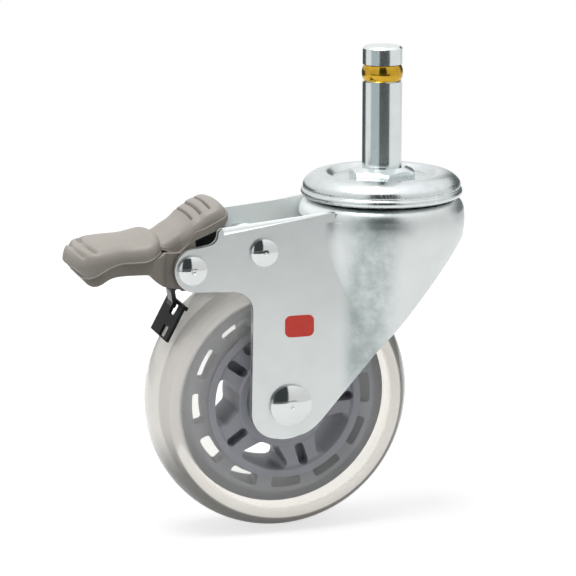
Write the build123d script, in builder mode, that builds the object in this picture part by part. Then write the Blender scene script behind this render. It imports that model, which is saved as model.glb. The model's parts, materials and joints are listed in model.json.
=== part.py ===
from build123d import *
import os
from math import atan2, cos, degrees, radians, sin, sqrt

# Swivel chair caster with a plug-in stem, a forked pressing, a clear-tyred wheel and a foot brake.
# Millimetres. Origin on the swivel axis, at the stem's shoulder. +Z up along the stem.
# The wheel trails towards -X and its axle lies along Y.

# ---------------------------------------------------------------- driving dimensions
SHEET = 2.0                     # thickness of the fork's steel sheet
LEG_OUT = 14.0                  # outer face of a fork leg, from the mid-plane
LEG_IN = LEG_OUT - SHEET
AXLE = (-30.8, -62.8)           # wheel axle, X and Z
WHEEL_R = 37.5
TYRE_HALF = 10.5
HUB_R = 22.0
HUB_HALF = 8.9
LEVER = (-58.4, -23.1)          # brake pedal's pivot, X and Z
BLADE = (-38.3, -19.4)          # brake blade's pivot, X and Z
RUN = 0.05                      # radial clearance of running fits
BEYOND = 60                     # length of a cut that goes right through the part

STEM_R = 5.5
STEM_LEN = 33.4
RING_LOW = 23.7                 # grip ring groove
RING_HIGH = 28.5
KING_R = 4.5
HEX_APOTHEM = 8.4
HEX_FOOT = 3.0                  # height of the hexagonal foot
HEX_TURN = 23                   # turn of the hexagon about the stem, degrees
HEX_CORNER = 1.2
HEX_FLAT_R = 6.6                # where the foot's top begins to slope down
CAP_R = 22.5
CAP_LOW = -7.9
POT_R = 23.0
POT_TOP = -8.0
SHOULDER = 4.4                  # radius of the pot's shoulder
UPPER_PITCH = 17.5
UPPER_BALL = 2.38
UPPER_BALL_Z = -5.91
LOWER_PITCH = 12.5
LOWER_BALL = 2.0
LOWER_BALL_Z = POT_TOP - 2.2 - LOWER_BALL - 0.03

# 608 ball bearing
BRG_BORE = 4.0
BRG_R = 11.0
BRG_W = 7.0
BRG_PITCH = 7.5
BRG_BALL = 1.98
BRG_CENTRE = HUB_HALF - BRG_W / 2

os.makedirs("parts", exist_ok=True)


def save(body, name):
    body.part.label = name
    export_step(body.part, f"parts/{name}.step")


def side_plane(y):
    """Plane at Y = y whose local x is +X and whose local y is +Z."""
    return Plane(origin=(0, y, 0), x_dir=(1, 0, 0), z_dir=(0, -1, 0))


def xz_disc(centre, radius, y_low, y_high):
    """Solid cylinder along Y."""
    solid = Cylinder(radius, y_high - y_low, rotation=(90, 0, 0), mode=Mode.PRIVATE)
    return Pos(centre[0], (y_low + y_high) / 2, centre[1]) * solid


# ---------------------------------------------------------------- stem and grip ring
with BuildPart() as stem:
    with BuildSketch(Plane.XZ):
        with BuildLine():
            groove_r = STEM_R - 0.9
            Polyline(
                (0, -HEX_FOOT - 5.6), (3.6, -HEX_FOOT - 5.6), (5.3, -HEX_FOOT - 4.7),
                (5.3, -HEX_FOOT - 3.8), (KING_R, -HEX_FOOT - 3.8), (KING_R, -HEX_FOOT),
                (STEM_R, -HEX_FOOT), (STEM_R, RING_LOW), (groove_r, RING_LOW),
                (groove_r, RING_HIGH), (STEM_R, RING_HIGH), (STEM_R, STEM_LEN - 0.6),
                (STEM_R - 0.6, STEM_LEN), (0, STEM_LEN), close=True,
            )
        make_face()
    revolve(axis=Axis.Z)
    with BuildSketch(Plane.XY.offset(-HEX_FOOT)) as hexagon:
        RegularPolygon(HEX_APOTHEM, 6, major_radius=False, rotation=HEX_TURN)
        fillet(hexagon.vertices(), HEX_CORNER)
    extrude(amount=HEX_FOOT)
    # the foot's corners slope away like those of a nut
    with BuildSketch(Plane.XZ):
        with BuildLine():
            Polyline((HEX_FLAT_R, 0), (HEX_FLAT_R + 4.4, 0), (HEX_FLAT_R + 4.4, -1.85), close=True)
        make_face()
    revolve(axis=Axis.Z, mode=Mode.SUBTRACT)

with BuildPart() as grip_ring:
    with BuildSketch(Plane.XZ):
        with BuildLine():
            Polyline(
                (5.1, RING_LOW + 0.2), (4.75, RING_LOW + 0.5),
                (4.75, RING_HIGH - 0.5), (5.1, RING_HIGH - 0.2),
            )
            ThreePointArc(
                (5.1, RING_HIGH - 0.2), (5.73, (RING_LOW + RING_HIGH) / 2), (5.1, RING_LOW + 0.2)
            )
        make_face()
    revolve(axis=Axis.Z)
    with Locations((0, STEM_R, (RING_LOW + RING_HIGH) / 2)):
        Box(1.2, 3, 8, mode=Mode.SUBTRACT)

# ---------------------------------------------------------------- swivel head
with BuildPart() as raceway_cap:
    with BuildSketch(Plane.XZ):
        with BuildLine():
            top = -HEX_FOOT
            Line((KING_R, top), (13.0, top))
            Spline((13.0, top), (14.6, -2.2), (16.0, -1.6), tangents=[(1, 0), (1, 0)])
            Spline((16.0, -1.6), (18.0, -1.8), (19.8, -2.4), (21.4, -3.7), (22.0, -5.2),
                   tangents=[(1, 0), (0.1, -1)])
            ThreePointArc((22.0, -5.2), (21.8, -5.6), (22.1, -6.0))
            ThreePointArc((22.1, -6.0), (CAP_R, -6.9), (22.0, CAP_LOW))
            Line((22.0, CAP_LOW), (20.9, CAP_LOW))
            Line((20.9, CAP_LOW), (20.2, -5.2))
            ThreePointArc((20.2, -5.2), (19.3, -4.0), (UPPER_PITCH + 0.2, -3.5))
            Spline((UPPER_PITCH + 0.2, -3.5), (14.8, -4.1), (12.9, top - 2.0), tangents=[(-1, 0), (-1, 0)])
            Line((12.9, top - 2.0), (KING_R, top - 2.0))
            Line((KING_R, top - 2.0), (KING_R, top))
        make_face()
    revolve(axis=Axis.Z)

with BuildPart() as lower_race_cup:
    with BuildSketch(Plane.XZ):
        with BuildLine():
            hat_top = -HEX_FOOT - 2.0
            floor = LOWER_BALL_Z - LOWER_BALL - RUN
            Polyline(
                (KING_R, hat_top), (7.6, hat_top), (7.6, floor), (16.2, floor), (16.2, floor + 2.6),
                (17.4, floor + 2.6), (17.4, floor - 1.8), (5.8, floor - 1.8), (5.8, hat_top - 1.8),
                (KING_R, hat_top - 1.8), close=True,
            )
        make_face()
    revolve(axis=Axis.Z)

with BuildPart() as upper_balls:
    with PolarLocations(UPPER_PITCH, 20):
        with Locations((0, 0, UPPER_BALL_Z)):
            Sphere(UPPER_BALL)

with BuildPart() as lower_balls:
    with PolarLocations(LOWER_PITCH, 16):
        with Locations((0, 0, LOWER_BALL_Z)):
            Sphere(LOWER_BALL)

# ---------------------------------------------------------------- fork
# Horizontal sections of the pressing: two straight sides that flow through a hollow fillet
# into the round pot, whose radius shrinks downwards.
BLEND_R = 6.0
REAR_X = -75.0
POT_LEVELS = [(-12.4, POT_R), (-17.0, POT_R), (-24.0, 21.6), (-34.0, 18.6), (-46.0, 15.6), (-74.0, 14.6)]


def pot_section(pot_r, half, blend):
    """Outline of one level: half is the sides' distance from the mid-plane."""
    blend_x = -sqrt((pot_r + blend) ** 2 - (half + blend) ** 2)
    turn = atan2(half + blend, -blend_x)
    touch = (-pot_r * cos(turn), pot_r * sin(turn))
    middle = turn + (radians(90) - turn) / 2
    hollow_mid = (blend_x + blend * cos(middle), half + blend - blend * sin(middle))
    Line((REAR_X, half), (blend_x, half))
    ThreePointArc((blend_x, half), hollow_mid, touch)
    ThreePointArc(touch, (pot_r, 0), (touch[0], -touch[1]))
    ThreePointArc((touch[0], -touch[1]), (hollow_mid[0], -hollow_mid[1]), (blend_x, -half))
    Line((blend_x, -half), (REAR_X, -half))
    Line((REAR_X, -half), (REAR_X, half))


def fork_loft(inset):
    """Solid inside the pressing's surface, drawn in by inset."""
    with BuildPart() as body:
        for level, pot_r in POT_LEVELS:
            with BuildSketch(Plane.XY.offset(level)):
                with BuildLine():
                    pot_section(pot_r - inset, LEG_OUT - inset, BLEND_R + inset)
                make_face()
        loft()
    return body.part


fork_outside = fork_loft(0)
fork_inside = fork_loft(SHEET)

# Side view of the legs and rear arms
NOSE_R = 6.0
NOSE = (-57.2, -23.3)
ARM_LOW = NOSE[1] - NOSE_R
ARM_TOP = -9.7
LEG_BACK = -41.6
LEG_FOOT = -72.0
with BuildPart() as leg_outline:
    with BuildSketch(side_plane(0)):
        with BuildLine():
            Line((NOSE[0], ARM_LOW), (-47.2, ARM_LOW - 0.5))
            RadiusArc((-47.2, ARM_LOW - 0.5), (LEG_BACK + 0.3, -35.8), 5.7)
            Line((LEG_BACK + 0.3, -35.8), (LEG_BACK - 0.2, -64.4))
            RadiusArc((LEG_BACK - 0.2, -64.4), (-34.3, LEG_FOOT), -7.6)
            Line((-34.3, LEG_FOOT), (-29.6, LEG_FOOT + 0.3))
            Spline((-29.6, LEG_FOOT + 0.3), (-24.6, -70.1), (-20.0, -65.6), tangents=[(1, 0.05), (0.66, 0.75)])
            Spline((-20.0, -65.6), (-2.0, -45.0), (13.6, -25.0), (18.0, -20.6), (24.5, -18.5),
                   tangents=[(0.66, 0.75), (1, 0)])
            Line((24.5, -18.5), (24.5, ARM_TOP))
            Line((24.5, ARM_TOP), (-19.0, ARM_TOP))
            Line((-19.0, ARM_TOP), (-49.6, -12.4))
            RadiusArc((-49.6, -12.4), (-51.0, -13.9), -1.4)
            ThreePointArc((-51.0, -13.9), (-51.9, -15.9), (-53.8, -16.8))
            Line((-53.8, -16.8), (-56.9, NOSE[1] + NOSE_R))
            ThreePointArc((-56.9, NOSE[1] + NOSE_R), (NOSE[0] - NOSE_R, NOSE[1]), (NOSE[0], ARM_LOW))
        make_face()
    extrude(amount=BEYOND, both=True)

# Round dish that closes the pot, and the sheet left of it once the inside is taken away
dish_r = POT_R - SHOULDER
with BuildPart() as dish:
    with BuildSketch(Plane.XZ):
        with BuildLine():
            low = POT_TOP - SHOULDER
            Line((8.2, POT_TOP), (dish_r, POT_TOP))
            RadiusArc((dish_r, POT_TOP), (POT_R, low), SHOULDER)
            Line((POT_R, low), (POT_R, low - 0.4))
            Line((POT_R, low - 0.4), (POT_R - SHEET, low - 0.4))
            Line((POT_R - SHEET, low - 0.4), (POT_R - SHEET, low))
            RadiusArc((POT_R - SHEET, low), (dish_r, POT_TOP - 2.2), -(SHOULDER - SHEET - 0.1))
            Line((dish_r, POT_TOP - 2.2), (8.2, POT_TOP - 2.2))
            Line((8.2, POT_TOP - 2.2), (8.2, POT_TOP))
        make_face()
    revolve(axis=Axis.Z)
    # ball groove
    with BuildSketch(Plane.XZ):
        with Locations((UPPER_PITCH, UPPER_BALL_Z)):
            Circle(UPPER_BALL + RUN)
    revolve(axis=Axis.Z, mode=Mode.SUBTRACT)

# Arm plates above the loft's top level
with BuildPart() as arm_tops:
    with BuildSketch(Plane.XY.offset(-13.0)):
        for side in (1, -1):
            with Locations((REAR_X / 2 - 9, side * (LEG_IN + SHEET / 2))):
                Rectangle(-REAR_X - 18, SHEET)
    extrude(amount=ARM_TOP + 13.1)

with BuildPart() as fork:
    add(fork_outside)
    add(fork_inside, mode=Mode.SUBTRACT)
    add(arm_tops)
    add(leg_outline, mode=Mode.INTERSECT)
    add(dish)
    for pivot, radius in ((AXLE, BRG_BORE), (LEVER, 3.0), (BLADE, 2.5)):
        add(xz_disc(pivot, radius, -20, 20), mode=Mode.SUBTRACT)

# ---------------------------------------------------------------- rivets and bushes of the fork
HEAD_RIM = 1.0                  # height of a rivet head's rim above the leg
LABEL_AT = (-28.2, -40.6)       # label's middle, X and Z
LABEL_SIZE = (8.2, 6.0)


def cross_rivet(centre, shank_r, head_r, head_h, dimple_r):
    """Rivet along Y through both legs, with a domed head on each side."""
    with BuildPart() as body:
        with BuildSketch(Plane(origin=(centre[0], 0, centre[1]), x_dir=(1, 0, 0), z_dir=(0, 0, 1))):
            with BuildLine():
                outer = LEG_OUT + head_h
                rim = LEG_OUT + HEAD_RIM
                shoulder = rim + 0.6 * (outer - rim)
                Line((0, -outer), (0, outer))
                Line((0, outer), (dimple_r, outer - 0.02))
                ThreePointArc(
                    (dimple_r, outer - 0.02), (head_r * 0.68, shoulder), (head_r, rim)
                )
                Line((head_r, rim), (head_r, LEG_OUT))
                Line((head_r, LEG_OUT), (shank_r, LEG_OUT))
                Line((shank_r, LEG_OUT), (shank_r, -LEG_OUT))
                Line((shank_r, -LEG_OUT), (head_r, -LEG_OUT))
                Line((head_r, -LEG_OUT), (head_r, -rim))
                ThreePointArc(
                    (head_r, -rim), (head_r * 0.68, -shoulder), (dimple_r, -outer + 0.02)
                )
                Line((dimple_r, -outer + 0.02), (0, -outer))
            make_face()
        revolve(axis=Axis((centre[0], 0, centre[1]), (0, 1, 0)))
        for side in (1, -1):
            with Locations((centre[0], side * (outer + dimple_r * 0.55), centre[1])):
                Sphere(dimple_r, mode=Mode.SUBTRACT)
    return body


axle_rivet = cross_rivet(AXLE, BRG_BORE, 5.85, 2.4, 0.6)
lever_rivet = cross_rivet(LEVER, 3.0, 3.95, 2.1, 0.9)
blade_rivet = cross_rivet(BLADE, 2.5, 3.8, 2.0, 0.5)


def y_tube(centre, outer_r, inner_r, y_low, y_high):
    """Plain tube along Y."""
    plane = Plane(origin=(centre[0], y_low, centre[1]), x_dir=(1, 0, 0), z_dir=(0, 1, 0))
    with BuildPart() as body:
        with BuildSketch(plane):
            Circle(outer_r)
            Circle(inner_r, mode=Mode.SUBTRACT)
        extrude(amount=y_high - y_low)
    return body


blade_bush = y_tube(BLADE, 3.1, 2.5, -LEG_IN, LEG_IN)
bearing_sleeve = y_tube(AXLE, 5.6, BRG_BORE, -(HUB_HALF - BRG_W), HUB_HALF - BRG_W)
side_spacer_near = y_tube(AXLE, 6.0, BRG_BORE, -LEG_IN, -HUB_HALF)
side_spacer_far = y_tube(AXLE, 6.0, BRG_BORE, HUB_HALF, LEG_IN)

# Plain label on the near leg
with BuildPart() as side_label:
    with BuildSketch(side_plane(-LEG_OUT)):
        with Locations(LABEL_AT):
            RectangleRounded(LABEL_SIZE[0], LABEL_SIZE[1], 1.6)
    extrude(amount=0.2)

# ---------------------------------------------------------------- wheel bearings


def ring_body(points, race_centre):
    """Bearing ring turned about the axle; points are (radius, Y) in the ring's half section."""
    with BuildPart() as body:
        with BuildSketch(Plane(origin=(AXLE[0], 0, AXLE[1]), x_dir=(1, 0, 0), z_dir=(0, 0, 1))):
            with BuildLine():
                Polyline(*points, close=True)
            make_face()
            with Locations((BRG_PITCH, race_centre)):
                Circle(BRG_BALL + RUN, mode=Mode.SUBTRACT)
        revolve(axis=Axis((AXLE[0], 0, AXLE[1]), (0, 1, 0)))
    return body


def bearing(side):
    """Inner ring, outer ring, balls, cage and the two shields of one bearing."""
    mid = side * BRG_CENTRE
    low = mid - BRG_W / 2
    high = mid + BRG_W / 2
    inner = ring_body([(BRG_BORE, low), (6.1, low), (6.1, high), (BRG_BORE, high)], mid)
    outer = ring_body([(9.0, low), (BRG_R, low), (BRG_R, high), (9.0, high)], mid)
    place = Plane(origin=(AXLE[0], mid, AXLE[1]), x_dir=(1, 0, 0), z_dir=(0, 1, 0))
    with BuildPart(place) as balls:
        with PolarLocations(BRG_PITCH, 7):
            Sphere(BRG_BALL)
    with BuildPart(place) as cage:
        with BuildSketch(place.offset(-2.7)):
            Circle(8.1)
            Circle(6.9, mode=Mode.SUBTRACT)
        extrude(amount=5.4)
        with PolarLocations(BRG_PITCH, 7):
            Cylinder(BRG_BALL + 0.1, 4, rotation=(0, 90, 0), mode=Mode.SUBTRACT)
    with BuildPart() as shields:
        for offset in (-3.3, 3.0):
            with BuildSketch(place.offset(offset)):
                Circle(9.0)
                Circle(6.3, mode=Mode.SUBTRACT)
            extrude(amount=0.3)
    return inner, outer, balls, cage, shields


near_bearing = bearing(-1)
far_bearing = bearing(1)

# ---------------------------------------------------------------- wheel
HUB_PLATE_HALF = 8.2
RIM_FLANGE_R = 30.3
RIM_FLANGE_HALF = 4.2
RIM_TAPER_R = 26.8              # the flange thins towards its edge from here
RIM_EDGE_HALF = 1.8
WINDOW_ANGLE = 35               # first large window, from +X towards +Z
SLOT_ANGLE = 71.5
SLOT_PITCH = 16.6
SLOT_SIZE = (6.6, 2.7)
SLOT_DEPTH = 5.0
ARC_COUNT = 12
ARC_ANGLE = 2.8

wheel_plane = Plane(origin=(AXLE[0], 0, AXLE[1]), x_dir=(1, 0, 0), z_dir=(0, -1, 0))
wheel_axis = Axis((AXLE[0], 0, AXLE[1]), (0, 1, 0))
section_plane = Plane(origin=(AXLE[0], 0, AXLE[1]), x_dir=(1, 0, 0), z_dir=(0, 0, 1))


def ring_sector(inner_r, outer_r, inner_half, outer_half, corner):
    """Flat window about +X: half angles in degrees at its inner and outer arcs."""
    with BuildSketch() as shape:
        with BuildLine():
            inner_x = inner_r * cos(radians(inner_half))
            inner_y = inner_r * sin(radians(inner_half))
            outer_x = outer_r * cos(radians(outer_half))
            outer_y = outer_r * sin(radians(outer_half))
            ThreePointArc((inner_x, -inner_y), (inner_r, 0), (inner_x, inner_y))
            Line((inner_x, inner_y), (outer_x, outer_y))
            ThreePointArc((outer_x, outer_y), (outer_r, 0), (outer_x, -outer_y))
            Line((outer_x, -outer_y), (inner_x, -inner_y))
        make_face()
        fillet(shape.vertices(), corner)
    return shape


window = ring_sector(13.0, 19.9, 11, 24.5, 1.7)
arc_window = ring_sector(23.4, 26.1, 10, 10, 0.8)

with BuildPart() as wheel_hub:
    with BuildSketch(section_plane):
        with BuildLine():
            seat = HUB_HALF - BRG_W
            Polyline(
                (9.6, -seat), (BRG_R, -seat), (BRG_R, -HUB_HALF), (12.9, -HUB_HALF),
                (13.6, -HUB_PLATE_HALF), (19.4, -HUB_PLATE_HALF), (20.1, -HUB_HALF), (HUB_R, -HUB_HALF),
                (HUB_R, -RIM_FLANGE_HALF), (RIM_TAPER_R, -RIM_FLANGE_HALF),
                (RIM_FLANGE_R, -RIM_EDGE_HALF), (RIM_FLANGE_R, RIM_EDGE_HALF),
                (RIM_TAPER_R, RIM_FLANGE_HALF), (HUB_R, RIM_FLANGE_HALF), (HUB_R, HUB_HALF),
                (20.1, HUB_HALF), (19.4, HUB_PLATE_HALF), (13.6, HUB_PLATE_HALF), (12.9, HUB_HALF),
                (BRG_R, HUB_HALF), (BRG_R, seat), (9.6, seat), close=True,
            )
        make_face()
    revolve(axis=wheel_axis)
    # Large windows between the spokes
    with BuildSketch(wheel_plane):
        with PolarLocations(0, 5, start_angle=WINDOW_ANGLE):
            add(window.sketch)
    extrude(amount=BEYOND, both=True, mode=Mode.SUBTRACT)
    # Blind slots in the spokes, from both faces
    for start in (-HUB_HALF, HUB_HALF - SLOT_DEPTH):
        with BuildSketch(wheel_plane.offset(start)):
            with PolarLocations(SLOT_PITCH, 5, start_angle=SLOT_ANGLE):
                SlotOverall(SLOT_SIZE[0], SLOT_SIZE[1])
        extrude(amount=SLOT_DEPTH, mode=Mode.SUBTRACT)
    # Arc windows through the rim flange
    with BuildSketch(wheel_plane):
        with PolarLocations(0, ARC_COUNT, start_angle=ARC_ANGLE):
            add(arc_window.sketch)
    extrude(amount=BEYOND, both=True, mode=Mode.SUBTRACT)

with BuildPart() as tyre:
    with BuildSketch(section_plane):
        with BuildLine():
            Line((HUB_R, -HUB_HALF), (24.5, -9.6))
            Line((24.5, -9.6), (31.5, -TYRE_HALF))
            ThreePointArc((31.5, -TYRE_HALF), (33.3, -10.2), (34.6, -8.9))
            ThreePointArc((34.6, -8.9), (WHEEL_R, 0), (34.6, 8.9))
            ThreePointArc((34.6, 8.9), (33.3, 10.2), (31.5, TYRE_HALF))
            Line((31.5, TYRE_HALF), (24.5, 9.6))
            Line((24.5, 9.6), (HUB_R, HUB_HALF))
            Line((HUB_R, HUB_HALF), (HUB_R, -HUB_HALF))
        make_face()
    revolve(axis=wheel_axis)
    add(wheel_hub, mode=Mode.SUBTRACT)

# ---------------------------------------------------------------- brake pedal
# Side view: the parting line between cover and body runs from the toe to the release tread.
TOE = (-90.3, -20.0)
TOE_PART = (-88.2, -24.5)       # where the two halves part under the toe
HEEL = (-46.6, -9.3)            # end of the release tread
PEDAL_HALF = 15.0               # half width of the blanks the outline is cut from


def parting_line():
    Spline(TOE_PART, (-84.0, -23.0), (-77.5, -21.0), (-70.0, -20.4), (-65.0, -18.6),
           tangents=[(1, 0.2), (1, 0.4)])
    Line((-65.0, -18.6), (-61.0, -18.8))
    Line((-61.0, -18.8), (-58.2, -16.0))
    Line((-58.2, -16.0), (-57.4, -14.1))
    Line((-57.4, -14.1), (-50.5, -10.9))
    Line((-50.5, -10.9), HEEL)


def bone_outline(inset, neck_half, tread_half):
    """Top view of the pedal: wide rounded toe, waist, wide lobe, narrow neck, release tread."""
    half = [
        (TOE[0] + inset, 0), (-88.0, 8.6 - inset), (-83.4, 12.8 - inset), (-76.0, 11.4 - inset),
        (-69.4, 12.8 - inset), (-64.8, neck_half),
    ]
    end_x = HEEL[0]
    for side in (1, -1):
        Spline(*[(x, side * y) for x, y in half], tangents=[(0, side), (0.7, -side * 0.7)])
        Line((-64.8, side * neck_half), (-61.5, side * neck_half))
        Line((-61.5, side * neck_half), (-57.8, side * tread_half))
        Line((-57.8, side * tread_half), (end_x - 4.0, side * tread_half))
        RadiusArc((end_x - 4.0, side * tread_half), (end_x, side * (tread_half - 4.0)), side * 4.0)
    Line((end_x, tread_half - 4.0), (end_x, 4.0 - tread_half))


with BuildPart() as pedal_cover:
    with BuildSketch(side_plane(0)):
        with BuildLine():
            Spline(TOE, (-88.8, -17.6), (-84.0, -16.2), (-78.0, -15.7), (-71.5, -15.2), (-67.0, -14.4),
                   tangents=[(0, 1), (1, 0)])
            Spline((-67.0, -14.4), (-64.6, -14.9), (-62.2, -13.8), (-59.3, -12.0), (-57.4, -10.2),
                   (-55.1, -8.6), (-52.4, -7.1), (-49.6, -6.4), tangents=[(1, 0), (1, 0.1)])
            Spline((-49.6, -6.4), (-47.3, -7.1), HEEL, tangents=[(1, 0), (0, -1)])
            parting_line()
            Spline(TOE_PART, (-89.8, -22.6), TOE, tangents=[(-0.6, 0.8), (0, 1)])
        make_face()
    extrude(amount=PEDAL_HALF, both=True)
    with BuildSketch():
        with BuildLine():
            bone_outline(0, 9.4, 11.0)
        make_face()
    extrude(amount=-BEYOND, mode=Mode.INTERSECT)

with BuildPart() as pedal_body:
    with BuildSketch(side_plane(0)):
        with BuildLine():
            parting_line()
            Polyline(HEEL, (-47.0, -10.9), (-49.0, -12.5), (-56.8, -15.6), (-56.4, -18.2))
            ThreePointArc((-56.4, -18.2), (LEVER[0] + 5.1, LEVER[1]), (-56.0, -26.9))
            Polyline((-56.0, -26.9), (-57.5, -27.9), (-59.8, -29.1), (-64.8, -27.9))
            Spline((-64.8, -27.9), (-67.6, -26.3), (-69.4, -24.1), tangents=[(-1, 0.25), (-0.3, 1)])
            Spline((-69.4, -24.1), (-76.0, -24.2), (-81.0, -24.7), (-85.0, -26.4), TOE_PART,
                   tangents=[(-1, 0), (-0.4, 1)])
        make_face()
    extrude(amount=PEDAL_HALF, both=True)
    with BuildSketch():
        with BuildLine():
            bone_outline(0.5, 11.3, 11.3)
        make_face()
    extrude(amount=-BEYOND, mode=Mode.INTERSECT)
    add(xz_disc(LEVER, 3.0 + RUN, -PEDAL_HALF, PEDAL_HALF), mode=Mode.SUBTRACT)

# ---------------------------------------------------------------- brake blade and shoe
BLADE_T = 1.2
BLADE_HALF = 5.0                # half width over the ramp
NECK_HALF = 2.6                 # half width of the neck that carries the shoe
HOOK_R = 3.1 + RUN + BLADE_T / 2
HOOK_TURN = -67.3               # where the hook leaves its circle towards the ramp
SHOE_T = 0.8
SHOE_HALF = 8.4
SHOE_LEN = 10.9
SHOE_MID = (-61.9, -38.9)       # middle of the shoe's outer face
SHOE_TILT = 28.0                # from the vertical
SHOE_WINDOW = (4.8, 3.2)

lean = radians(SHOE_TILT)
shoe_down = Vector(-sin(lean), 0, -cos(lean))
shoe_out = Vector(-cos(lean), 0, sin(lean))
shoe_mid = Vector(SHOE_MID[0], 0, SHOE_MID[1])
neck_top = shoe_mid - shoe_down * (SHOE_LEN / 2 - 0.9) + shoe_out * (BLADE_T / 2)
neck_end = shoe_mid - shoe_down * (SHOE_LEN / 2 - 2.1) + shoe_out * (BLADE_T / 2)

with BuildPart() as brake_blade:
    with BuildSketch(side_plane(0)):
        with BuildLine():
            hook = CenterArc(BLADE, HOOK_R, HOOK_TURN, 225)
            FilletPolyline(
                hook @ 0, (-54.2, -30.1), (-61.0, -30.1), (neck_top.X, neck_top.Z),
                (neck_end.X, neck_end.Z), radius=1.2,
            )
        trace(line_width=BLADE_T)
    extrude(amount=BLADE_HALF, both=True)
    with BuildSketch():
        for side in (1, -1):
            with Locations((-63.0, side * (NECK_HALF + 5))):
                Rectangle(8.0, 10)
    extrude(amount=-BEYOND, mode=Mode.SUBTRACT)

shoe_plane = Plane(origin=shoe_mid, x_dir=(0, -1, 0), z_dir=shoe_out)
with BuildPart() as brake_shoe:
    with BuildSketch(shoe_plane):
        Rectangle(2 * SHOE_HALF, SHOE_LEN)
    extrude(amount=-SHOE_T)
    # lip at the top edge, turned towards the tread
    with BuildSketch(shoe_plane):
        with Locations((0, SHOE_LEN / 2 - 0.5)):
            Rectangle(2 * SHOE_HALF, 1.0)
    extrude(amount=-(SHOE_T + 0.7))
    # lanced windows
    with BuildSketch(shoe_plane):
        with Locations((1.9, 3.0), (2.6, -3.5)):
            RectangleRounded(SHOE_WINDOW[0], SHOE_WINDOW[1], 0.5)
    extrude(amount=-SHOE_T, mode=Mode.SUBTRACT)

# ---------------------------------------------------------------- files
pieces = {
    "stem": stem, "grip_ring": grip_ring, "raceway_cap": raceway_cap, "lower_race_cup": lower_race_cup,
    "upper_balls": upper_balls, "lower_balls": lower_balls, "fork": fork, "axle_rivet": axle_rivet,
    "lever_rivet": lever_rivet, "blade_rivet": blade_rivet, "blade_bush": blade_bush,
    "bearing_sleeve": bearing_sleeve, "side_spacer_near": side_spacer_near,
    "side_spacer_far": side_spacer_far, "side_label": side_label, "wheel_hub": wheel_hub, "tyre": tyre,
    "pedal_cover": pedal_cover, "pedal_body": pedal_body, "brake_blade": brake_blade,
    "brake_shoe": brake_shoe,
}
bearing_names = ("inner_ring", "outer_ring", "bearing_balls", "cage", "shields")
for side_name, group in (("near", near_bearing), ("far", far_bearing)):
    for base, piece in zip(bearing_names, group):
        pieces[f"{base}_{side_name}"] = piece

for piece_name, piece in pieces.items():
    save(piece, piece_name)
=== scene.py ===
import json
import math

import bmesh
import bpy
import numpy as np
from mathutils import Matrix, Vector


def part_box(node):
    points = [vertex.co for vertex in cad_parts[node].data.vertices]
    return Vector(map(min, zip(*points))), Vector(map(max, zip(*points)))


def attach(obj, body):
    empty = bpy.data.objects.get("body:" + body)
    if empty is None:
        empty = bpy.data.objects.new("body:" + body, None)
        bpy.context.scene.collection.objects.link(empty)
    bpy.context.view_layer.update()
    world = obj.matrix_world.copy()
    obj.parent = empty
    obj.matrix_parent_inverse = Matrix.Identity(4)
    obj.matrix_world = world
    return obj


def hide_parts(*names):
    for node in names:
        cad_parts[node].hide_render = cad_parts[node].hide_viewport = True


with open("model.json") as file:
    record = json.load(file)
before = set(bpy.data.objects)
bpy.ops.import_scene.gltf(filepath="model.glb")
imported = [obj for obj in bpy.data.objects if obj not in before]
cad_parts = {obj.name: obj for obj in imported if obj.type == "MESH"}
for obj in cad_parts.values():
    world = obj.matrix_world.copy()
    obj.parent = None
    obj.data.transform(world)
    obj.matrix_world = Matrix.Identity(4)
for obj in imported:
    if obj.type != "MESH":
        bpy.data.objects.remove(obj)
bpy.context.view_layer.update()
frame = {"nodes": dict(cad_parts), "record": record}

MM = 0.001
NODES = frame["nodes"]

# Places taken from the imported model, in millimetres
AXLE_LOW, AXLE_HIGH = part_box("axle_rivet")
AXLE = (AXLE_LOW + AXLE_HIGH) / 2 / MM
TYRE_LOW, TYRE_HIGH = (np.array(c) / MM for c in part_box("tyre"))
WHEEL_R = (TYRE_HIGH[0] - TYRE_LOW[0]) / 2
TYRE_HALF = (TYRE_HIGH[1] - TYRE_LOW[1]) / 2
FLOOR_Z = TYRE_LOW[2] * MM

# ---------------------------------------------------------------- node helpers
WHITE = (1, 1, 1, 1)


class Shader:
    """A small builder for node trees."""

    def __init__(self, tree):
        self.tree = tree
        self.tree.nodes.clear()

    def node(self, kind, inputs=None, **settings):
        made = self.tree.nodes.new(kind)
        for key, value in settings.items():
            setattr(made, key, value)
        for key, value in (inputs or {}).items():
            if isinstance(value, bpy.types.NodeSocket):
                self.tree.links.new(value, made.inputs[key])
            else:
                made.inputs[key].default_value = value
        return made

    def noise(self, place, size_mm, detail=3.0, rough=0.55):
        """Noise whose features are about size_mm across."""
        return self.node("ShaderNodeTexNoise", {
            "Vector": place, "Scale": 1.0 / (size_mm * MM), "Detail": detail, "Roughness": rough,
        }).outputs["Fac"]

    def span(self, value, low, high, to_low, to_high, smooth=False):
        kind = "SMOOTHSTEP" if smooth else "LINEAR"
        return self.node("ShaderNodeMapRange", {
            "Value": value, "From Min": low, "From Max": high, "To Min": to_low, "To Max": to_high,
        }, interpolation_type=kind).outputs[0]

    def math(self, operation, a, b=0.0):
        return self.node("ShaderNodeMath", {0: a, 1: b}, operation=operation).outputs[0]

    def product(self, a, b):
        return self.math("MULTIPLY", a, b)

    def without(self, factor):
        """One minus the factor."""
        return self.math("SUBTRACT", 1.0, factor)

    def mix(self, factor, a, b):
        made = self.node("ShaderNodeMix", {0: factor, 6: a, 7: b}, data_type="RGBA")
        return made.outputs[2]

    def place(self):
        return self.node("ShaderNodeTexCoord").outputs["Object"]

    def between(self, value, low, high, soft):
        """One between low and high, falling to zero softly on both sides."""
        return self.product(self.span(value, low - soft, low + soft, 0, 1, True),
                            self.span(value, high - soft, high + soft, 1, 0, True))


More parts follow.
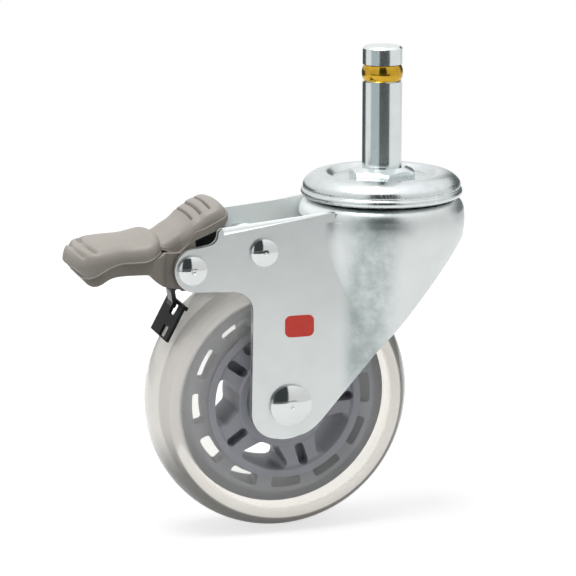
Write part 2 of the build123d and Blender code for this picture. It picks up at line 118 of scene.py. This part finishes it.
def rgba(colour, scale=1.0):
    return (*(min(1.0, c * scale) for c in colour[:3]), 1.0)


def surface(name, colour, rough, metallic=0.0, cloud=0.05, cloud_mm=14.0, rough_spread=0.06,
            grain_mm=0.6, grain_depth=0.0, **sockets):
    """Principled material with cloudy colour, uneven gloss and a fine relief."""
    made = bpy.data.materials.new(name)
    made.use_nodes = True
    s = Shader(made.node_tree)
    place = s.place()
    tint = s.span(s.noise(place, cloud_mm, 4.0), 0.3, 0.7, 0.0, 1.0)
    base = s.mix(tint, rgba(colour, 1 - cloud), rgba(colour, 1 + cloud))
    grain = s.noise(place, grain_mm, 3.0, 0.6)
    gloss = s.span(grain, 0.3, 0.7, max(0.0, rough - rough_spread), rough + rough_spread)
    inputs = {"Base Color": base, "Roughness": gloss, "Metallic": metallic}
    inputs.update(sockets)
    shader = s.node("ShaderNodeBsdfPrincipled", inputs)
    if grain_depth:
        bumpy = s.node("ShaderNodeBump", {"Height": grain, "Strength": 1.0, "Distance": grain_depth * MM})
        s.tree.links.new(bumpy.outputs[0], shader.inputs["Normal"])
    s.node("ShaderNodeOutputMaterial", {"Surface": shader.outputs[0]})
    return made, s, shader


ZINC = (0.565, 0.592, 0.588)
GREY_TOWARDS = (0.574, 0.819)   # unit direction of the tyre's grey part, forward and down


def sheet_zinc():
    """The fork's satin plate with three stand-ins for light that don't follow the pose: inner faces painted
    near white and less metallic as a painted reflection, a painted shadow under the release tread, and a grey
    band of painted dark reflection.
    """
    made, s, shader = surface("zinc_sheet_satin", ZINC, 0.33, 1.0, 0.03, 9.0, 0.05, 0.6, 0.006)
    place = s.place()
    x, y, z = s.node("ShaderNodeSeparateXYZ", {0: place}).outputs
    inner = s.span(s.math("ABSOLUTE", y), 12.2 * MM, 12.8 * MM, 1.0, 0.0)
    behind = s.span(x, -22.0 * MM, -18.0 * MM, 1.0, 0.0)
    # inner faces behind the pot: painted near white and made less metallic, a painted bright reflection
    painted_bright_inner = s.product(inner, behind)
    # nearly black inside the arms under the release tread, in place of a deep shadow
    shade = s.product(s.span(x, -43.0 * MM, -40.5 * MM, 1.0, 0.0, True),
                      s.span(z, -17.5 * MM, -16.0 * MM, 1.0, 0.0, True))
    inner_painted_bright_and_shadow = s.mix(shade, (0.95, 1.0, 1.0, 1), (0.012, 0.014, 0.014, 1))
    # a cloudy grey band where the legs turn into the pot, in place of a dark reflection
    band = s.product(s.span(x, -17.0 * MM, -12.0 * MM, 0.0, 1.0, True),
                     s.span(x, -7.0 * MM, 0.0, 1.0, 0.0, True))
    band = s.product(band, s.span(s.noise(place, 5.0, 4.0, 0.7), 0.30, 0.62, 0.15, 0.62))
    outside = s.mix(band, shader.inputs["Base Color"].links[0].from_socket, (0.19, 0.25, 0.245, 1))
    s.tree.links.new(s.mix(painted_bright_inner, outside, inner_painted_bright_and_shadow), shader.inputs["Base Color"])
    s.tree.links.new(s.span(painted_bright_inner, 0.0, 1.0, 1.0, 0.25), shader.inputs["Metallic"])
    return made


def clear_urethane():
    """Cast urethane: clear over the core's flange and milky outside it, with a painted glow on the milky
    part.

    The grey on the tread and outer ring stands in for refraction. It lies on the lower front part only and is
    fixed to the wheel, so it turns with it.
    """
    made, s, shader = surface("tyre_clear_urethane", (0.9, 0.88, 0.84), 0.10, 0.0, 0.01, 12.0, 0.03, 0.8, 0.0,
                              **{"Transmission Weight": 0.9, "IOR": 1.40})
    x, _, z = s.node("ShaderNodeSeparateXYZ", {0: s.place()}).outputs
    across = s.math("SUBTRACT", x, AXLE[0] * MM)
    upward = s.math("SUBTRACT", z, AXLE[2] * MM)
    radius = s.math("SQRT", s.math("ADD", s.product(across, across), s.product(upward, upward)))
    milky = s.span(radius, 29.6 * MM, 31.0 * MM, 0.0, 1.0, True)
    down_front = s.math("SUBTRACT", s.product(across, GREY_TOWARDS[0]), s.product(upward, GREY_TOWARDS[1]))
    lower = s.span(s.math("DIVIDE", down_front, radius), -0.45, 0.0, 0.10, 1.0, True)
    through = s.node("ShaderNodeLightPath").outputs["Is Transmission Ray"]
    grey = s.product(s.span(radius, 33.0 * MM, 33.7 * MM, 0.0, 1.0, True), lower)
    grey = s.product(grey, s.without(through))
    base = s.mix(milky, (0.90, 0.905, 0.875, 1), (1.0, 0.965, 0.905, 1))
    base = s.mix(grey, base, (0.26, 0.255, 0.235, 1))
    clear = s.product(s.span(milky, 0.0, 1.0, 0.92, 0.20), s.without(grey))
    clear = s.math("ADD", clear, s.product(grey, 0.12))
    # painted glow on the milky part, stronger for transmission rays
    painted_glow = s.product(s.product(milky, s.without(grey)), s.math("ADD", 0.12, s.product(through, 0.5)))
    s.tree.links.new(base, shader.inputs["Emission Color"])
    s.tree.links.new(painted_glow, shader.inputs["Emission Strength"])
    s.tree.links.new(base, shader.inputs["Base Color"])
    s.tree.links.new(clear, shader.inputs["Transmission Weight"])
    return made


zinc_sheet = sheet_zinc()
zinc_pressed = surface("zinc_pressed_bright", (0.57, 0.605, 0.61), 0.23, 1.0, 0.07, 4.0, 0.09, 0.7, 0.016)[0]
zinc_turned = surface("zinc_turned_bright", (0.66, 0.70, 0.70), 0.16, 1.0, 0.04, 5.0, 0.04, 0.35, 0.004)[0]
rivet_zinc = surface("zinc_rivet_polished", (0.58, 0.60, 0.595), 0.08, 1.0, 0.02, 4.0, 0.02, 0.5, 0.001)[0]
ball_steel = surface("bearing_steel", (0.56, 0.57, 0.58), 0.12, 1.0, 0.03, 3.0, 0.03, 0.3, 0.001)[0]
brass_ring = surface("brass_spring", (0.50, 0.30, 0.03), 0.14, 1.0, 0.12, 2.0, 0.05, 0.5, 0.006)[0]
hub_plastic = surface("hub_nylon", (0.41, 0.415, 0.455), 0.45, 0.0, 0.05, 10.0, 0.05, 0.35, 0.006)[0]
cage_plastic = surface("cage_nylon", (0.05, 0.05, 0.055), 0.45, 0.0, 0.05, 4.0, 0.05, 0.3, 0.003)[0]
pedal_light = surface("pedal_taupe", (0.315, 0.290, 0.258), 0.50, 0.0, 0.04, 7.0, 0.05, 0.4, 0.008)[0]
pedal_dark = surface("pedal_taupe_dark", (0.26, 0.237, 0.205), 0.52, 0.0, 0.05, 7.0, 0.05, 0.4, 0.008)[0]
shoe_black = surface("shoe_black_coat", (0.012, 0.012, 0.013), 0.5, 0.0, 0.1, 3.0, 0.06, 0.4, 0.006,
                     **{"Specular IOR Level": 0.12})[0]
label_red = surface("label_red_print", (0.80, 0.045, 0.025), 0.30, 0.0, 0.04, 2.0, 0.04, 0.3, 0.001)[0]

tyre_clear = clear_urethane()

FINISH = {
    "zinc_sheet": zinc_sheet, "zinc_pressed": zinc_pressed, "zinc_turned": zinc_turned,
    "rivet_zinc": rivet_zinc, "ball_steel": ball_steel, "brass_ring": brass_ring,
    "hub_plastic": hub_plastic, "cage_plastic": cage_plastic, "pedal_light": pedal_light,
    "pedal_dark": pedal_dark, "shoe_black": shoe_black, "label_red": label_red, "tyre_pu": tyre_clear,
}
for row in frame["record"]["subparts"]:
    packed = NODES[row["node"]]
    packed.data.materials.clear()
    packed.data.materials.append(FINISH[row["material_slot"]])

# ---------------------------------------------------------------- mesh helpers


def stand_for(made, node, body):
    """Lets a shown piece ride on its body and replace its CAD node."""
    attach(made, body)
    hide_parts(node)
    return made


def piece(name, verts_mm, faces, node, slot, body, angle):
    """A new shown piece that stands for a CAD node."""
    mesh = bpy.data.meshes.new(name)
    mesh.from_pydata([tuple(float(c) * MM for c in v) for v in verts_mm], [], faces)
    mesh.validate()
    work = bmesh.new()
    work.from_mesh(mesh)
    bmesh.ops.remove_doubles(work, verts=work.verts, dist=0.002 * MM)
    bmesh.ops.recalc_face_normals(work, faces=work.faces)
    work.to_mesh(mesh)
    work.free()
    mesh.shade_smooth()
    mesh.set_sharp_from_angle(angle=math.radians(angle))
    mesh.materials.append(FINISH[slot])
    made = bpy.data.objects.new(name, mesh)
    bpy.context.scene.collection.objects.link(made)
    return stand_for(made, node, body)


def rounded_copy(node, name, slot, body, width_mm, segments=2, wide=None, wide_mm=0.0, move=None):
    """The CAD node's shape with its sharp edges broken by a small radius, those chosen by wide by more."""
    work = bmesh.new()
    work.from_mesh(NODES[node].data)
    bmesh.ops.remove_doubles(work, verts=work.verts, dist=0.003 * MM)
    bmesh.ops.dissolve_limit(work, angle_limit=math.radians(0.1), verts=work.verts, edges=work.edges)

    def corners(limit):
        steep = math.radians(limit)
        return [e for e in work.edges if len(e.link_faces) == 2 and e.calc_face_angle(0) > steep]

    if wide:
        chosen = [e for e in corners(60.0) if all(wide(v.co / MM) for v in e.verts)]
        bmesh.ops.bevel(work, geom=chosen, offset=wide_mm * MM, offset_type="OFFSET", segments=6,
                        profile=0.5, affect="EDGES", clamp_overlap=False)
    bmesh.ops.bevel(work, geom=corners(38.0), offset=width_mm * MM, offset_type="OFFSET", segments=segments,
                    profile=0.5, affect="EDGES", clamp_overlap=True)
    if move:
        for vertex in work.verts:
            vertex.co = move(vertex.co / MM) * MM
    mesh = bpy.data.meshes.new(name)
    work.to_mesh(mesh)
    work.free()
    mesh.shade_smooth()
    mesh.set_sharp_from_angle(angle=math.radians(30))
    made = bpy.data.objects.new(name, mesh)
    bpy.context.scene.collection.objects.link(made)
    even = made.modifiers.new("even", "WEIGHTED_NORMAL")
    even.keep_sharp = True
    even.weight = 60
    settled = bpy.data.meshes.new_from_object(made.evaluated_get(bpy.context.evaluated_depsgraph_get()))
    made.modifiers.clear()
    made.data = settled
    bpy.data.meshes.remove(mesh)
    settled.name = name
    settled.materials.clear()
    settled.materials.append(FINISH[slot])
    return stand_for(made, node, body)


def lathe(profile, centre, steps):
    """Vertices and faces of a closed profile of (radius, height) turned about a line along Y."""
    verts, faces = [], []
    count = len(profile)
    for k in range(steps):
        turn = 2 * math.pi * k / steps
        for radius, height in profile:
            verts.append((centre[0] + radius * math.cos(turn), height, centre[2] + radius * math.sin(turn)))
    for k in range(steps):
        a, b = k * count, ((k + 1) % steps) * count
        for i in range(count):
            j = (i + 1) % count
            faces.append((a + i, a + j, b + j, b + i))
    return verts, faces


def hermite(points, samples):
    """Smooth curve of y over x through the points, evaluated at samples."""
    p = np.array(points, float)
    x, y = p[:, 0], p[:, 1]
    slope = np.gradient(y, x)
    i = np.clip(np.searchsorted(x, samples) - 1, 0, len(x) - 2)
    h = x[i + 1] - x[i]
    t = np.clip((samples - x[i]) / h, 0, 1)
    return ((2 * t**3 - 3 * t**2 + 1) * y[i] + (t**3 - 2 * t**2 + t) * h * slope[i]
            + (-2 * t**3 + 3 * t**2) * y[i + 1] + (t**3 - t**2) * h * slope[i + 1])


# ---------------------------------------------------------------- tyre
SHOULDER_R = 34.6
SHOULDER_DROP = 1.7             # from the tyre's side back to where the crown begins
CROWN_STEPS = 24


def tyre_profile():
    """Closed profile: seat in the core, side, rounded shoulder and parabolic crown."""
    side = TYRE_HALF
    shoulder = side - SHOULDER_DROP
    half = [(21.6, 8.4), (22.3, 8.95), (24.5, 9.6), (28.0, side - 0.42), (31.0, side - 0.02), (31.8, side),
            (32.6, side - 0.12), (33.4, side - 0.5), (34.1, side - 1.05), (SHOULDER_R, shoulder)]
    crown = []
    for k in range(1, CROWN_STEPS):
        y = shoulder * (1 - 2 * k / CROWN_STEPS)
        crown.append((WHEEL_R - (WHEEL_R - SHOULDER_R) * (y / shoulder) ** 2, y))
    return half + crown + [(r, -y) for r, y in reversed(half)]


verts, faces = lathe(tyre_profile(), AXLE, 256)
piece("tyre_clear_ring", verts, faces, "tyre", "tyre_pu", "wheel", 50)

# ---------------------------------------------------------------- brake pedal cover
# Profiles are (x, z) over the pedal's length, outlines (x, half width)
CROWN_R = 60.0
ROLL_DEEP = 2.7                 # drop of the top where it rolls off to its edge
TOP = [(-90.4, -18.5), (-88.5, -17.7), (-86.0, -16.9), (-83.5, -16.2), (-80.0, -15.7), (-77.0, -15.5),
       (-73.7, -15.4), (-71.5, -15.1), (-69.5, -14.7), (-67.5, -14.2), (-65.5, -14.4), (-63.0, -15.2)]
REAR = [(-69.0, -16.6), (-66.0, -15.6), (-64.0, -14.7), (-61.5, -13.2), (-59.3, -11.9), (-58.0, -10.9),
        (-57.0, -10.0), (-56.0, -9.3), (-55.0, -8.7), (-54.4, -8.2), (-53.6, -7.6), (-52.4, -7.1),
        (-51.6, -6.75), (-50.2, -6.3), (-48.6, -6.4), (-46.4, -7.2)]
PARTING = [(-90.4, -23.6), (-89.0, -24.3), (-87.3, -24.5), (-85.7, -24.3), (-83.8, -23.4), (-81.8, -22.3),
           (-79.5, -21.4), (-77.5, -21.0), (-74.0, -20.9), (-70.0, -20.5), (-68.0, -19.7), (-65.0, -18.4),
           (-63.0, -18.2)]
REAR_PARTING = [(-69.0, -18.2), (-65.0, -18.2), (-62.5, -19.2), (-60.2, -18.7), (-58.8, -17.3),
                (-58.0, -15.6), (-57.2, -14.4), (-54.0, -12.9), (-50.5, -11.2), (-46.4, -9.5)]
TOE_OUTLINE = [(-90.3, 0.0), (-90.0, 3.8), (-89.1, 7.0), (-87.8, 9.6), (-86.0, 11.6), (-83.6, 12.7),
               (-80.4, 12.4), (-76.6, 11.6), (-73.0, 11.9), (-70.0, 12.6), (-67.6, 11.9), (-65.8, 9.2),
               (-64.7, 5.4), (-64.3, 0.0)]
REAR_OUTLINE = [(-69.0, 8.0), (-66.0, 9.2), (-62.5, 9.5), (-60.5, 9.6), (-58.6, 10.5), (-57.0, 11.0),
                (-54.6, 11.0), (-52.0, 11.0), (-49.6, 10.8), (-47.8, 9.6), (-46.8, 7.6), (-46.6, 5.0),
                (-46.6, 0.0)]
TOE_LEAN = 2.1                  # how far the toe's wall leans in, from its top to the parting
BEAD = 0.22                     # how far the bead along the parting stands out
SHELL_ACROSS = 80               # faces from side to side of a shell


def past_end(last, before):
    """A point past the end of a half outline, mirrored where the outline ends on y = 0."""
    if last[1] == 0:
        return before * (1, -1)
    return 2 * last - before


def closed_curve(points, per_span):
    """Smooth half outline through the points (Catmull-Rom), from its first to its last."""
    p = np.array(points, float)
    ends = np.vstack([past_end(p[0], p[1]), p, past_end(p[-1], p[-2])])
    out_points = []
    for k in range(len(p) - 1):
        a, b, c, d = ends[k:k + 4]
        for t in np.linspace(0, 1, per_span, endpoint=False):
            out_points.append(0.5 * (2 * b + (c - a) * t + (2 * a - 5 * b + 4 * c - d) * t**2
                                     + (3 * b - a - 3 * c + d) * t**3))
    out_points.append(p[-1])
    return np.array(out_points)


def edge_distance(x, y, outline):
    """Distance from each point to the outline, mirrored about y = 0."""
    full = np.vstack([outline, outline[::-1] * (1, -1)])
    best = np.full(x.shape, 1e9)
    for k in range(len(full) - 1):
        a, b = full[k], full[k + 1]
        d = b - a
        length = d @ d
        if length < 1e-12:
            continue
        t = np.clip(((x - a[0]) * d[0] + (y - a[1]) * d[1]) / length, 0, 1)
        best = np.minimum(best, np.hypot(x - a[0] - t * d[0], y - a[1] - t * d[1]))
    return best


def leaning(x, share):
    """Place along the pedal once the toe's wall has leaned in by its share."""
    return x + TOE_LEAN * share * np.clip((-85.0 - x) / 5.3, 0, 1) ** 1.5


def shell(outline, top, parting, edge_r, roll_wide, relief):
    """Closed shell over an outline: crowned top with rounded edges, side wall, bead and flat underside."""
    stations, across, bead = len(outline), SHELL_ACROSS, BEAD
    v = np.sin(np.linspace(-1, 1, across + 1) * math.pi / 2)
    x = np.repeat(outline[:, 0:1], across + 1, axis=1)
    y = outline[:, 1:2] * v[None, :]
    d = edge_distance(x, y, outline)
    radius = edge_r(x)
    inward = np.clip(1 - d / radius, 0, 1)
    z = hermite(top, x.ravel()).reshape(x.shape) - (CROWN_R - np.sqrt(CROWN_R**2 - y**2))
    rolling = np.clip(1 - np.minimum(d, outline[:, 1:2] - np.abs(y)) / roll_wide(x), 0, 1)
    z = z - ROLL_DEEP * (1 - np.sqrt(1 - 0.93 * rolling**2.4))
    z = z - 0.8 * radius * (1 - np.sqrt(1 - inward**2)) + relief(x, y)
    low = hermite(parting, x.ravel()).reshape(x.shape)
    z = np.maximum(z, low + 0.9)
    verts = [(x[i, j], y[i, j], z[i, j]) for i in range(stations) for j in range(across + 1)]
    faces = []
    width = across + 1
    for i in range(stations - 1):
        for j in range(across):
            faces.append((i * width + j, i * width + j + 1, (i + 1) * width + j + 1, (i + 1) * width + j))
    # the border's vertices in order, and the way out from each
    ring = [(i, 0) for i in range(stations)] + [(stations - 1, j) for j in range(1, across)]
    ring += [(i, across) for i in reversed(range(stations))] + [(0, j) for j in reversed(range(1, across))]
    border = [i * width + j for i, j in ring]
    points = np.array([(x[i, j], y[i, j]) for i, j in ring])
    ahead, behind = np.roll(points, -1, axis=0), np.roll(points, 1, axis=0)
    tangent = ahead - behind
    normal = np.stack([tangent[:, 1], -tangent[:, 0]], 1)
    normal /= np.maximum(np.linalg.norm(normal, axis=1, keepdims=True), 1e-9)
    if (normal * (points - points.mean(0))).sum() < 0:
        normal = -normal
    # side wall down to the parting, with a bead along it
    top_z = np.array([z[i, j] for i, j in ring])
    low_z = np.array([low[i, j] for i, j in ring])
    rim = low_z + 0.5
    heights = [(top_z + (rim - top_z) * share, 0.0, share) for share in (0.3, 0.65, 1.0)]
    heights += [(low_z + 0.38, bead, 1.0), (low_z + 0.12, bead, 1.0), (low_z, 0.0, 1.0)]
    last = border
    for level_z, push, share in heights:
        start = len(verts)
        verts += [(leaning(px, share) + nx * push, py + ny * push, pz)
                  for (px, py), (nx, ny), pz in zip(points, normal, level_z)]
        ring_now = list(range(start, start + len(ring)))
        for k in range(len(ring)):
            n = (k + 1) % len(ring)
            faces.append((last[k], last[n], ring_now[n], ring_now[k]))
        last = ring_now
    # underside: same grid, at the parting height
    under = {}
    for k, key in enumerate(ring):
        under.setdefault(key, last[k])
    for i in range(stations):
        for j in range(width):
            if (i, j) not in under:
                under[(i, j)] = len(verts)
                verts.append((leaning(x[i, j], 1.0), y[i, j], low[i, j]))
    for i in range(stations - 1):
        for j in range(across):
            faces.append((under[(i, j)], under[(i + 1, j)], under[(i + 1, j + 1)], under[(i, j + 1)]))
    return verts, faces


def bump(value, centre, width):
    return np.exp(-((value - centre) / width) ** 2)


def toe_relief(x, y):
    """Two crescent grooves round the toe, deeper towards the sides."""
    aside = 0.45 + 0.55 * np.clip((np.abs(y) - 1.0) / 4.0, 0, 1)
    grooves = np.zeros_like(x)
    for apex, reach in ((-88.1, 10.6), (-85.3, 11.4)):
        grooves -= 1.05 * bump(x, apex + 0.013 * y**2, 0.5) * np.clip((reach - np.abs(y)) / 2.0, 0, 1)
    return grooves * aside


def tread_relief(x, y):
    """Three straight grooves across the release tread, open at its far edge."""
    depth = np.zeros_like(x)
    for at, end in ((-56.7, -8.0), (-54.4, -8.6), (-51.9, -8.6)):
        reach = np.clip((y - end) / 0.5, 0, 1)
        depth -= 1.5 * bump(x, at, 0.2) * reach
    return depth


toe_outline = closed_curve(TOE_OUTLINE, 20)
rear_points = closed_curve(REAR_OUTLINE, 26)
toe_v, toe_f = shell(toe_outline, TOP, PARTING, lambda x: 0.9 + 0.6 * np.clip((-86.0 - x) / 4.0, 0, 1),
                     lambda x: 3.4 - 1.4 * np.clip((-80.0 - x) / 6.0, 0, 1), toe_relief)
rear_v, rear_f = shell(rear_points, REAR, REAR_PARTING, lambda x: np.full_like(x, 0.8),
                       lambda x: np.full_like(x, 3.0), tread_relief)
shift = len(toe_v)
piece("pedal_cover_moulding", toe_v + rear_v, toe_f + [tuple(i + shift for i in f) for f in rear_f],
      "pedal_cover", "pedal_light", "pedal", 40)

# ---------------------------------------------------------------- parts with broken edges


def arm_top(place):
    """Outer top edges of the fork's rear arms."""
    return abs(place.y) > 13.95 and -49.9 < place.x < -25.5 and place.z > -13.0


rounded_copy("fork", "fork_pressing", "zinc_sheet", "fork_unit", 0.6, 4, wide=arm_top, wide_mm=1.6)
rounded_copy("wheel_hub", "wheel_core", "hub_plastic", "wheel", 0.3, 2)
rounded_copy("pedal_body", "pedal_under_moulding", "pedal_dark", "pedal", 0.7, 3,
             move=lambda v: Vector((leaning(v.x, 1.0), v.y, v.z)))
rounded_copy("brake_shoe", "brake_shoe_plate", "shoe_black", "brake", 0.12, 2)

# ---------------------------------------------------------------- stage, light and camera
CAMERA_AT = Vector((-0.24733, -0.71558, 0.13772))
CAMERA_AIM = Vector((-0.026584, 0.001942, -0.033529))
CAMERA_AZ = math.degrees(math.atan2(CAMERA_AT.x - CAMERA_AIM.x, -(CAMERA_AT.y - CAMERA_AIM.y)))

camera_data = bpy.data.cameras.new("camera")
camera_data.sensor_width = 36.0
camera_data.lens = 173.1
camera_data.clip_start = 0.05
camera_data.clip_end = 50.0
camera = bpy.data.objects.new("camera", camera_data)
bpy.context.scene.collection.objects.link(camera)
camera.location = CAMERA_AT
camera.rotation_mode = "QUATERNION"
camera.rotation_quaternion = (CAMERA_AIM - CAMERA_AT).to_track_quat("-Z", "Y")
bpy.context.scene.camera = camera

FLOOR_R = 0.42
floor_mesh = bpy.data.meshes.new("floor")
work = bmesh.new()
bmesh.ops.create_circle(work, cap_ends=True, cap_tris=False, segments=128, radius=FLOOR_R)
work.to_mesh(floor_mesh)
work.free()
floor = bpy.data.objects.new("floor", floor_mesh)
floor.location = (AXLE[0] * MM, 0, FLOOR_Z - 0.0002)
bpy.context.scene.collection.objects.link(floor)
floor_material = bpy.data.materials.new("floor_white")
floor_material.use_nodes = True
s = Shader(floor_material.node_tree)
tone = s.mix(s.noise(s.place(), 60.0), (0.93, 0.93, 0.93, 1), (0.96, 0.96, 0.96, 1))
rays = s.node("ShaderNodeLightPath").outputs
bounced = rays["Is Diffuse Ray"]
direct = s.math("MAXIMUM", rays["Is Camera Ray"], rays["Is Transmission Ray"])
tone = s.mix(bounced, s.mix(direct, tone, (0.35, 0.35, 0.35, 1)), (0.42, 0.42, 0.42, 1))
glossy = s.without(s.math("ADD", direct, bounced))
glossy = s.math("MAXIMUM", glossy, 0.0)
shader = s.node("ShaderNodeBsdfPrincipled", {
    "Base Color": tone, "Roughness": 0.9, "Emission Color": WHITE,
    "Emission Strength": s.math("ADD", s.product(direct, 0.72), s.product(glossy, 0.15)),
})
s.node("ShaderNodeOutputMaterial", {"Surface": shader.outputs[0]})
floor_mesh.materials.append(floor_material)

# Studio world: bright tent with a few dark flags, given as azimuth from the camera and elevation.
# Camera rays see plain white in its place, and diffuse rays a dimmer tent.
FLAGS = [
    # azimuth from, to, elevation from, to, softness, brightness
    (-20.0, 42.0, -60.0, -3.0, 3.0, 0.07),
    (-20.0, 24.0, -3.0, 48.0, 3.0, 0.07),
    (-165.0, -112.0, -60.0, 3.0, 5.0, 0.10),
    (122.0, 172.0, -6.0, 22.0, 5.0, 0.14),
    (-70.0, -22.0, -60.0, -4.0, 5.0, 0.52),
]
FLAG_TINT = (0.86, 1.0, 1.03)
world = bpy.data.worlds.new("studio")
bpy.context.scene.world = world
world.use_nodes = True
s = Shader(world.node_tree)
direction = s.node("ShaderNodeTexCoord").outputs["Generated"]
axes = s.node("ShaderNodeSeparateXYZ", {0: direction}).outputs
turned = s.math("ARCTAN2", axes[0], s.math("MULTIPLY", axes[1], -1.0))
azimuth = s.math("SUBTRACT", s.math("MULTIPLY", turned, 180 / math.pi), CAMERA_AZ)
azimuth = s.node("ShaderNodeMath", {0: azimuth, 1: -180.0, 2: 180.0}, operation="WRAP").outputs[0]
elevation = s.math("MULTIPLY", s.math("ARCSINE", axes[2]), 180 / math.pi)
tone = WHITE
level = s.span(elevation, 5.0, 70.0, 1.0, 1.45, True)
for a0, a1, e0, e1, soft, dark in FLAGS:
    mask = s.product(s.between(azimuth, a0, a1, soft), s.between(elevation, e0, e1, soft))
    tone = s.mix(mask, tone, (*(dark * c for c in FLAG_TINT), 1))
    level = s.math("ADD", s.product(level, s.without(mask)), mask)
rays = s.node("ShaderNodeLightPath").outputs
level = s.product(level, s.span(rays["Is Diffuse Ray"], 0.0, 1.0, 1.0, 0.42))
studio = s.node("ShaderNodeBackground", {"Color": tone, "Strength": level})
plain = s.node("ShaderNodeBackground", {"Color": WHITE, "Strength": 1.0})
seen = s.math("MAXIMUM", rays["Is Camera Ray"], s.product(rays["Is Transmission Ray"], 0.8))
both = s.node("ShaderNodeMixShader", {0: seen, 1: studio.outputs[0], 2: plain.outputs[0]})
s.node("ShaderNodeOutputWorld", {"Surface": both.outputs[0]})


KEY_AT = Vector((-0.35, -0.10, 1.5))
KEY_AIM = Vector((-0.03, 0, -0.05))
key_data = bpy.data.lights.new("key", "AREA")
key_data.shape = "DISK"
key_data.size = 0.9
key_data.energy = 19.0
key = bpy.data.objects.new("key", key_data)
key.location = KEY_AT
key.rotation_mode = "QUATERNION"
key.rotation_quaternion = (KEY_AIM - KEY_AT).to_track_quat("-Z", "Y")
bpy.context.scene.collection.objects.link(key)

view = bpy.context.scene.view_settings
view.view_transform = "Standard"
view.look = "None"
view.exposure = 0.0
view.gamma = 1.0
